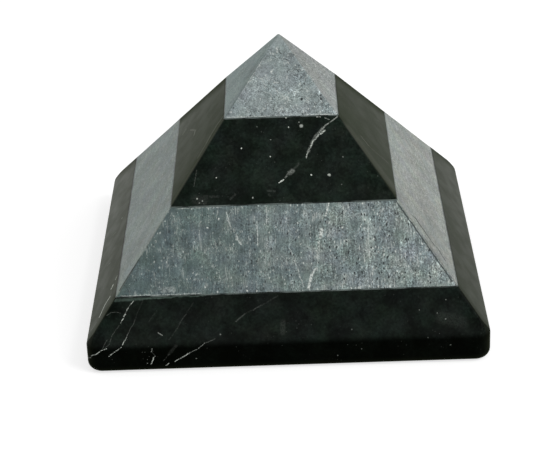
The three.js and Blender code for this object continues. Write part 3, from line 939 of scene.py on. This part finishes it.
def soapstone_fields(tree, look):
    """What the patterns of a soapstone are drawn from: places, the two sides, grain, bands and patches."""
    point = point_in_mm(tree)
    laid = use_group(tree, "side_sheet", Point=point)
    place, _, height = split_vector(tree, point)
    bent = use_group(tree, "wobble", Point=point, **GRAIN_WOBBLE)[0]
    on_right = calculate(tree, "GREATER_THAN", place, 0.0)
    flank_grain = mix_value(tree, laid["Flank"], 1.0, mix_value(tree, on_right, *look["flank_grain"]))
    return {
        "point": point,
        "sheet": use_group(tree, "wobble", Point=laid["Sheet"], **SOAPSTONE_WOBBLE)[0],
        "bent": bent,
        "flank": laid["Flank"],
        "along": laid["Along"],
        "on_right": on_right,
        "to_right": ramp(tree, place, SOAPSTONE_ENDS),
        "openness": product(tree, flank_grain, ramp(tree, height, RUBBED_HEIGHTS, (1.0, RUBBED_GRAIN))),
        "tone": use_group(tree, "grains", Point=bent, Size=look["grain"])[0],
        "bands": speckle(tree, move_vector(tree, "DIVIDE", bent, look["bands"]), **BAND_CLOUD),
        "patches": speckle(tree, bent, **PATCH_CLOUD),
    }


def soapstone_lightness(tree, field, look):
    """Light and dark of the stone: patches and bands, calm clouds on the flanks, and grain and streaks."""
    patches = ramp(tree, field["patches"], CLOUD_RANGE, PATCH_SHADES)
    bands = ramp(tree, field["bands"], CLOUD_RANGE, BAND_SHADES)
    front = calculate(tree, "POWER", product(tree, patches, bands), look["patching"])
    near_ridge = ramp(tree, field["along"], NEAR_RIDGE, (look["near_shade"], 1.0))
    near_ridge = mix_value(tree, field["on_right"], 1.0, near_ridge)
    flank = product(tree, drift(tree, field["point"], **FLANK_CLOUDS), near_ridge)
    shade = mix_value(tree, field["flank"], front, flank)
    busy = drift(tree, field["bent"], **BUSY_PATCHES)
    busy = product(tree, busy, field["openness"], mix_value(tree, field["to_right"], *GRAIN_FROM_LEFT))
    streaks = speckle(tree, move_vector(tree, "DIVIDE", field["bent"], look["streaks"]), **STREAK_CLOUD)
    depth = calculate(tree, "ADD", from_middle(tree, field["tone"]), from_middle(tree, streaks))
    return product(tree, calculate(tree, "POWER", look["contrast"], product(tree, depth, busy)), shade)


def soapstone_minerals(tree, field, look):
    """Where pale lines, flecks and threads lie, where the painted highlights of lit pit rims lie, and where
    dark flecks and pits do.
    """
    crowded = product(tree, from_middle(tree, field["patches"]), CROWDING)
    line_level = calculate(tree, "SUBTRACT", look["line_level"], crowded)
    fleck_level = calculate(tree, "SUBTRACT", look["fleck_level"], crowded)
    fleck = {"Size": look["flecks"], "Level": fleck_level}
    lines = use_group(tree, "flecks", Point=field["bent"], Size=look["lines"], Level=line_level)[0]
    flecks = use_group(tree, "flecks", Point=field["bent"], **fleck)[0]
    beside = move_vector(tree, "ADD", field["bent"], DARK_FLECK_SHIFT)
    dark_flecks = use_group(tree, "flecks", Point=beside, **fleck)[0]
    threads = use_group(tree, "wandering", Point=field["point"], **THREADS)[0]

    ragged = use_group(tree, "wobble", Point=field["bent"], **PIT_WOBBLE)[0]
    ragged = move_vector(tree, "MULTIPLY", ragged, PIT_STRETCH)
    pit = {"Spacing": PIT_SPACING, "Share": look["pits"]}
    pits = use_group(tree, "scattered", Point=ragged, Radius=PIT_RADIUS, **pit)[0]
    # painted highlights for the lit rims of the pits
    beside = move_vector(tree, "ADD", ragged, LIT_RIM_SHIFT)
    lit_pit_rims = use_group(tree, "scattered", Point=beside, Radius=LIT_RIM_RADIUS, **pit)[0]

    pale = largest(tree, [
        product(tree, lines, LINE_STRENGTH),
        product(tree, flecks, FLECK_STRENGTH),
        product(tree, threads, look["threads"]),
        product(tree, lit_pit_rims, ramp(tree, field["tone"], **LIT_RIM_GRAIN)),
    ])
    dark = largest(tree, [product(tree, dark_flecks, DARK_FLECK_STRENGTH), pits])
    pale = product(tree, pale, field["openness"], mix_value(tree, field["to_right"], *GRAIN_FROM_LEFT))
    dark = product(tree, dark, field["openness"], mix_value(tree, field["to_right"], *PITS_FROM_LEFT))
    return pale, dark


def soapstone_marks(tree, field, marks):
    """Where the measured veins and specks lie, and where the cracks and nicks do."""
    vein = draw_veins(tree, field["sheet"], marks["veins"])
    vein = product(tree, vein, ramp(tree, field["tone"], **VEIN_GRAIN))
    crack = draw_veins(tree, field["sheet"], marks["cracks"])
    crack = product(tree, crack, ramp(tree, field["tone"], **CRACK_GRAIN))
    vein = largest(tree, [vein, draw_spots(tree, field["sheet"], marks["specks"])])
    crack = largest(tree, [crack, draw_spots(tree, field["sheet"], marks["nicks"])])
    return vein, crack


def soapstone_color(tree, field, look):
    """The grey of the stone, cool and warm by turns, tinted from end to end and on the flanks by painted
    light, the left end also bluer stone.
    """
    warmth = ramp(tree, mix_value(tree, WARM_PATCHES, field["bands"], field["patches"]), WARM_RANGE)
    color = mix_color(tree, warmth, look["cool"], look["warm"])
    # painted light from the left end to the right end, brighter towards the key lamp on the right, with the
    # stone bluer at its left end
    color = tinted(tree, color, mix_color(tree, field["to_right"], look["left_end_tint_and_shade"], look["right_end_tint_and_light"]))
    # painted light and shade of the flanks
    flank_light = mix_color(tree, field["on_right"], look["left_flank_painted_light"], look["right_flank_painted_light"])
    color = mix_color(tree, field["flank"], color, tinted(tree, color, flank_light))
    color = tinted(tree, color, tinge(tree, field["point"], depths=look["tinge"], **SOAPSTONE_TINGE))
    return tinted(tree, color, grey(tree, soapstone_lightness(tree, field, look)))


def soapstone_material(name, marks, look):
    """Grey soapstone, ground dull, with grain that shows most on the front and the back."""
    material, tree = new_material(name)
    field = soapstone_fields(tree, look)
    pale, dark = soapstone_minerals(tree, field, look)
    vein, crack = soapstone_marks(tree, field, marks)
    color = painted(tree, soapstone_color(tree, field, look), [
        # pale minerals, with painted highlights on pit rims
        (pale, PALE_MINERAL_AND_HIGHLIGHT),
        (dark, DARK_MINERAL),
        (product(tree, worn_share(tree, "pitted"), PITTED_SHARE), PITTED_SOAPSTONE),
        (vein, SOAPSTONE_VEIN),
        (product(tree, worn_share(tree, "chipped"), CHIPPED_SHARE), CHIPPED_SOAPSTONE),
        (crack, SOAPSTONE_CRACK),
    ])
    raised = calculate(tree, "ADD", field["tone"], product(tree, pale, PALE_HEIGHT))
    relief = calculate(tree, "SUBTRACT", raised, largest(tree, [dark, crack]))
    bump = add_node(tree, "ShaderNodeBump", {"Height": relief, **SOAPSTONE_BUMP})
    finish_with(tree, {
        "Base Color": color,
        "Roughness": mix_value(tree, crack, ramp(tree, field["tone"], **DULLNESS), 1.0),
        "Coat Weight": product(tree, calculate(tree, "SUBTRACT", 1.0, crack), look["polish"]),
        "Normal": bump.outputs[0],
        **SOAPSTONE_FINISH,
    })
    return material


# The glue, in blotches that are clean or full of stone dust
GLUE_BLOTCHES = {"size": 6.0, "detail": 5.0, "roughness": 0.65}
DUSTY_RANGE = (0.42, 0.6)
GLUE_RANGE = (0.3, 0.7)
GLUE_ROUGHNESS = (0.4, 0.6)
GLUE_POLISH = (0.4, 0.5)
CLEAN_GLUE = (0.008, 0.012, 0.010, 1)
DUSTY_GLUE = (0.11, 0.135, 0.125, 1)
GLUE_FINISH = {"Specular IOR Level": 0.1, "Coat IOR": 1.2, "Coat Roughness": 0.3}


def epoxy_material():
    """Glue that fills the joints, ground off flush, black where it is clean and grey where dust is in it."""
    material, tree = new_material("epoxy")
    blotch = speckle(tree, point_in_mm(tree), **GLUE_BLOTCHES)
    finish_with(tree, {
        "Base Color": mix_color(tree, ramp(tree, blotch, DUSTY_RANGE), CLEAN_GLUE, DUSTY_GLUE),
        "Roughness": ramp(tree, blotch, GLUE_RANGE, GLUE_ROUGHNESS),
        "Coat Weight": ramp(tree, blotch, GLUE_RANGE, GLUE_POLISH),
        **GLUE_FINISH,
    })
    return material


def seen_or_mirrored(tree):
    """1 for rays from the camera and for those that gloss or glass sends on, else 0."""
    path = add_node(tree, "ShaderNodeLightPath").outputs
    return largest(tree, [path[name] for name in ("Is Camera Ray", "Is Glossy Ray", "Is Transmission Ray")])


def floor_material():
    """Pale grey with a glow that only the camera and mirroring surfaces see."""
    material, tree = new_material("pale_floor")
    finish_with(tree, {
        "Base Color": FLOOR_GREY,
        "Roughness": 1.0,
        "Specular IOR Level": 0.0,
        "Emission Color": WHITE,
        "Emission Strength": product(tree, seen_or_mirrored(tree), FLOOR_GLOW),
    })
    return material


def put_in_scene(name, data):
    """A new object in the scene."""
    thing = bpy.data.objects.new(name, data)
    bpy.context.scene.collection.objects.link(thing)
    return thing


def mesh_from(bm, name):
    """A mesh made from a bmesh, which is freed."""
    mesh = bpy.data.meshes.new(name)
    bm.to_mesh(mesh)
    bm.free()
    return mesh


def make_floor():
    bm = bmesh.new()
    bmesh.ops.create_circle(bm, cap_ends=True, segments=FLOOR_SEGMENTS, radius=FLOOR_RADIUS)
    floor = put_in_scene("floor", mesh_from(bm, "floor"))
    floor.data.materials.append(floor_material())


def make_camera():
    heading = Matrix.Rotation(VIEW_TURN, 3, "Z")
    forward = heading @ Vector((0, math.cos(VIEW_ELEVATION), -math.sin(VIEW_ELEVATION)))
    right = heading @ Vector((1, 0, 0))
    turned = Matrix((right, right.cross(forward), -forward)).transposed()
    camera_data = bpy.data.cameras.new("camera")
    camera_data.lens = LENS_MM
    camera_data.sensor_width = SENSOR_MM
    camera_data.sensor_fit = "HORIZONTAL"
    camera_data.clip_start = CLIP_START
    camera = put_in_scene("camera", camera_data)
    place = Matrix.Translation(Vector(VIEW_AIM) - forward * VIEW_DISTANCE)
    camera.matrix_world = place @ turned.to_4x4() @ Matrix.Rotation(VIEW_ROLL, 4, "Z")
    bpy.context.scene.camera = camera


def make_key_lamp():
    lamp_data = bpy.data.lights.new("key", "AREA")
    lamp_data.shape = "DISK"
    lamp_data.size = KEY_SIZE
    lamp_data.energy = KEY_POWER
    lamp = put_in_scene("key", lamp_data)
    lamp.location = KEY_PLACE
    lamp.rotation_euler = (Vector(KEY_AIM) - Vector(KEY_PLACE)).to_track_quat("-Z", "Y").to_euler()


def make_world():
    """Even white light from all around, and a white background."""
    world = bpy.data.worlds.new("studio")
    bpy.context.scene.world = world
    world.use_nodes = True
    tree = world.node_tree
    tree.nodes.clear()
    strength = mix_value(tree, seen_or_mirrored(tree), AMBIENT_STRENGTH, BACKGROUND_STRENGTH)
    light = add_node(tree, "ShaderNodeBackground", {"Color": WHITE, "Strength": strength})
    add_node(tree, "ShaderNodeOutputWorld", {"Surface": light.outputs[0]})


def merged_copy(node):
    """A bmesh of a CAD node, its loose triangles merged into whole faces."""
    bm = bmesh.new()
    bm.from_mesh(node.data)
    bmesh.ops.remove_doubles(bm, verts=bm.verts, dist=MERGE_DISTANCE)
    bmesh.ops.dissolve_limit(bm, angle_limit=FLAT_ANGLE, verts=bm.verts, edges=bm.edges)
    return bm


def filled(places, step):
    """Places in order, with more between them wherever two are further apart than a step."""
    kept = []
    for place in sorted(places):
        if not kept or place - kept[-1] > LEAST_STEP:
            kept.append(place)
    result = []
    for low, high in zip(kept, kept[1:]):
        count = math.ceil((high - low) / step)
        result += [low + (high - low) * i / count for i in range(count)]
    return result[1:]


def cut_faces(bm, faces, axis, places):
    """Cuts faces by planes across an axis, the middle plane first and then each half."""
    if not places or not faces:
        return
    middle = len(places) // 2
    edges = {edge for face in faces for edge in face.edges}
    verts = {vert for face in faces for vert in face.verts}
    point = Vector((0, 0, 0))
    point[axis] = places[middle]
    normal = Vector((0, 0, 0))
    normal[axis] = 1
    cut = bmesh.ops.bisect_plane(
        bm, geom=[*verts, *edges, *faces], dist=SNAP_DISTANCE, plane_co=point, plane_no=normal)
    below, above = [], []
    for item in cut["geom"]:
        if isinstance(item, bmesh.types.BMFace):
            lower = item.calc_center_median()[axis] < places[middle]
            (below if lower else above).append(item)
    cut_faces(bm, below, axis, places[:middle])
    cut_faces(bm, above, axis, places[middle + 1:])


def is_side(face):
    return abs(face.normal.z) < LEVEL_NORMAL


def faces_across(face, axis):
    """Whether a side looks more across an axis than along it."""
    return is_side(face) and abs(face.normal[1 - axis]) > FACING_SHARE * abs(face.normal[axis])


def cut_grid(bm, level_step, cross_step):
    """Cuts the sides of a stone into small fields, level by level and then across."""
    sides = [face for face in bm.faces if is_side(face)]
    heights = [vert.co.z for vert in bm.verts]
    cut_faces(bm, sides, 2, filled([min(heights), max(heights)], level_step))
    for axis in (0, 1):
        facing = [face for face in bm.faces if faces_across(face, axis)]
        ends = [
            vert.co[axis] for vert in {vert for face in facing for vert in face.verts}
            if any(is_side(face) and not faces_across(face, axis) for face in vert.link_faces)
        ]
        cut_faces(bm, facing, axis, filled(ends, cross_step))


# How a stone's edges and faces have worn, in millimetres. Noise runs from -1 to 1.
SHUNGITE_WEAR = {
    "wave_depth": 0.02, "wave_length": 9.0,
    "joint_depth": 0.03, "joint_reach": 0.35,
    "ridge_depth": 0.05, "ridge_reach": 0.4,
    "rub_length": 2.2,
    "chip_depth": 0.06, "chip_reach": 0.5, "chip_length": 0.7, "chip_least": 0.46,
}
SOAPSTONE_WEAR = {
    "wave_depth": 0.05, "wave_length": 6.0,
    "joint_depth": 0.04, "joint_reach": 0.4,
    "ridge_depth": 0.08, "ridge_reach": 0.4,
    "rub_length": 1.8,
    "chip_depth": 0.06, "chip_reach": 0.5, "chip_length": 0.6, "chip_least": 0.4,
    "pit_depth": 0.1, "pit_radius": 0.3, "pit_spacing": 1.3, "pit_share": 0.1,
}
CHIP_STEEPNESS = 4
RIDGE_CHIP_SHARE = 0.6
FINE_CHIP_SHARE = 0.5
FINE_CHIPS = 2.7  # how many times smaller the fine chips are
CELL_SPREAD = 7.31
FOOT_KEPT = 1.6  # height of the underside's round, which keeps its CAD form


def soft_edge(distance, reach):
    """1 at an edge, and less and less until a reach away from it."""
    return max(0.0, 1.0 - distance / reach) ** 2


def as_share(value):
    """Noise from -1 to 1 as a share from 0 to 1, and a share as one from a half to 1."""
    return (1 + value) / 2


def chance(place):
    """A number from 0 to 1 that belongs to a place and is the same each time."""
    return noise.cell(place * CELL_SPREAD) % 1.0


def chip_at(point, joint_distance, ridge_distance, wear):
    """How much of a point is chipped, which happens only beside joints and ridges."""
    grain = point / wear["chip_length"]
    rough = noise.noise(grain) + FINE_CHIP_SHARE * noise.noise(grain * FINE_CHIPS)
    chip = min(1.0, max(0.0, (rough - wear["chip_least"]) * CHIP_STEEPNESS))
    by_joint = soft_edge(joint_distance, wear["chip_reach"])
    by_ridge = RIDGE_CHIP_SHARE * soft_edge(ridge_distance, wear["chip_reach"])
    return chip * max(by_joint, by_ridge)


def pit_at(point, wear):
    """How deep a point lies in a pit, from 0 to 1. A few of the noise's cells hold one."""
    if "pit_share" not in wear:
        return 0.0
    distances, centres = noise.voronoi(point / wear["pit_spacing"])
    luck = chance(centres[0])
    if luck >= wear["pit_share"]:
        return 0.0
    radius = wear["pit_radius"] * as_share(luck / wear["pit_share"]) / wear["pit_spacing"]
    return max(0.0, 1.0 - (distances[0] / radius) ** 2)


def worn_by(point, joint_distance, wear):
    """How deep a point on a side has worn, how much of it is chipped, and how deep it lies in a pit."""
    ridge_distance = abs(abs(point.x) - abs(point.y))
    wave = wear["wave_depth"] * as_share(noise.noise(point / wear["wave_length"]))
    rub = as_share(noise.noise(point / wear["rub_length"]))
    by_joint = wear["joint_depth"] * soft_edge(joint_distance, wear["joint_reach"])
    by_ridge = wear["ridge_depth"] * soft_edge(ridge_distance, wear["ridge_reach"])
    chip = chip_at(point, joint_distance, ridge_distance, wear)
    pit = pit_at(point, wear)
    depth = wave + max(by_joint, by_ridge) * rub + wear["chip_depth"] * chip
    if pit:
        depth += wear["pit_depth"] * pit
    return depth, chip, pit


def wear_stone(bm, wear, joints):
    """Moves the points of a stone's sides inwards by what has worn off, and notes chips and pits."""
    chipped = bm.verts.layers.float.new("chipped")
    pitted = bm.verts.layers.float.new("pitted")
    bm.normal_update()
    moves = []
    for vert in bm.verts:
        point = vert.co * PER_MM
        if point.z < FOOT_KEPT:
            continue
        joint_distance = min(abs(point.z - joint) for joint in joints) * SLOPE_PER_HEIGHT
        depth, vert[chipped], vert[pitted] = worn_by(point, joint_distance, wear)
        moves.append((vert, vert.normal * (depth * MM)))
    for vert, move in moves:
        vert.co -= move


def make_stone(node_name, level_step, cross_step, wear, material):
    """A piece that stands for a CAD slab, with worn sides and a finish."""
    low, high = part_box(node_name)
    bm = merged_copy(frame["nodes"][node_name])
    cut_grid(bm, level_step, cross_step)
    joints = [height * PER_MM for height in (low[2], high[2]) if MM < height < cad_box[1][2] - MM]
    wear_stone(bm, wear, joints)
    mesh = mesh_from(bm, node_name + "_worn")
    mesh.shade_smooth()
    mesh.set_sharp_from_angle(angle=SHARP_ANGLE)
    mesh.materials.append(material)
    stone = put_in_scene(node_name + "_worn", mesh)
    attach(stone, "root")
    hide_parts(node_name)
    return stone


def make_shungite(node_name, marks, look):
    """A slab of shungite, worn and finished."""
    finish = shungite_material(node_name, marks, look)
    stone = make_stone(node_name, SHUNGITE_LEVEL_STEP, SHUNGITE_CROSS_STEP, SHUNGITE_WEAR, finish)


def make_soapstone(node_name, marks, look):
    """A slab or a tip of soapstone, worn and finished."""
    finish = soapstone_material(node_name, marks, look)
    stone = make_stone(node_name, SOAPSTONE_LEVEL_STEP, SOAPSTONE_CROSS_STEP, SOAPSTONE_WEAR, finish)


def finish_glue():
    """Gives the films of glue, which keep their CAD form, their finish."""
    glue = epoxy_material()
    for entry in frame["record"]["subparts"]:
        if entry["material_slot"] == "epoxy":
            node = frame["nodes"][entry["node"]]
            node.data.materials.clear()
            node.data.materials.append(glue)


make_camera()
make_world()
make_floor()
make_key_lamp()

make_shungite("shungite_base_slab", BASE_MARKS, BASE_LOOK)
make_shungite("shungite_upper_slab", UPPER_MARKS, UPPER_LOOK)
make_soapstone("soapstone_lower_slab", LOWER_MARKS, LOWER_LOOK)
make_soapstone("soapstone_tip", TIP_MARKS, TIP_LOOK)
finish_glue()

bpy.context.scene.view_settings.view_transform = "Standard"
